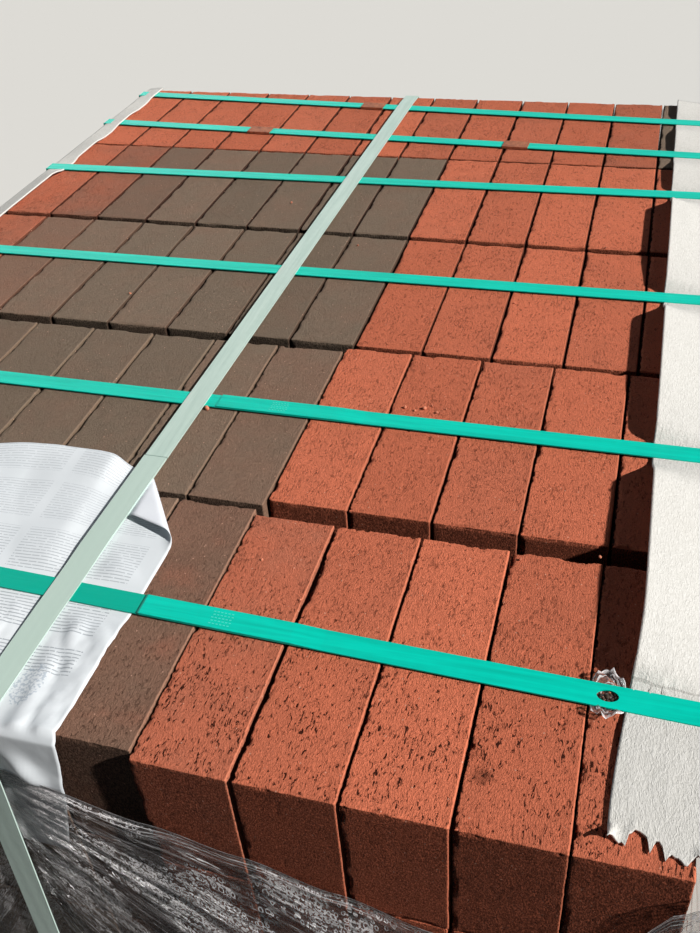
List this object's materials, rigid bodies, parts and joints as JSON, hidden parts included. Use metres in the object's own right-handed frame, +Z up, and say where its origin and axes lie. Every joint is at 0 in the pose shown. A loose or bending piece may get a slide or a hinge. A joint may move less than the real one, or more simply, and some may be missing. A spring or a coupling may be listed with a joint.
{
  "type": "pallet of bricks",
  "caption": "A strapped and wrapped cube of red and brown clay paving bricks standing on edge on a wooden pallet.",
  "frame": {"origin": "on the floor, under the middle of the pallet", "axes": "+X across the load to the right of the pictured front, +Y along the load to the back, +Z up"},
  "size_m": [0.813, 1.0686, 0.9389],
  "materials": {
    "fired_clay": "wire-cut, rough and pitted, with chipped edges",
    "green_strap": "embossed polyester strapping, satin",
    "pale_strap": "embossed polyester strapping, satin",
    "seal_steel": "thin steel, rusted brown",
    "white_board": "fibrous white board, torn at its end",
    "clear_film": "clear stretch film, creased",
    "white_sheet": "white coated sheet, creased, with faint grey lines",
    "pallet_wood": "rough sawn softwood"
  },
  "bodies": {
    "root": {"bottom_board_1": "pallet_wood", "bottom_board_2": "pallet_wood", "bottom_board_3": "pallet_wood", "brick_course_1": "fired_clay", "brick_course_2": "fired_clay", "brick_course_3": "fired_clay", "brick_course_4": "fired_clay", "brick_course_5": "fired_clay", "brick_course_6": "fired_clay", "brick_course_7": "fired_clay", "brick_course_8": "fired_clay", "cross_strap_1": "green_strap", "cross_strap_2": "green_strap", "cross_strap_3": "green_strap", "cross_strap_4": "green_strap", "cross_strap_5": "green_strap", "cross_strap_6": "green_strap", "deck_board_1": "pallet_wood", "deck_board_2": "pallet_wood", "deck_board_3": "pallet_wood", "deck_board_4": "pallet_wood", "deck_board_5": "pallet_wood", "deck_board_6": "pallet_wood", "deck_board_7": "pallet_wood", "edge_protector_left": "white_board", "edge_protector_right": "white_board", "film_scrap": "clear_film", "hidden_brick_core": "fired_clay", "label_sheet": "white_sheet", "lengthwise_strap": "pale_strap", "strap_seal_1": "seal_steel", "strap_seal_2": "seal_steel", "strap_seal_3": "seal_steel", "stretch_film": "clear_film", "stringer_left": "pallet_wood", "stringer_middle": "pallet_wood", "stringer_right": "pallet_wood"}
  },
  "joints": []
}
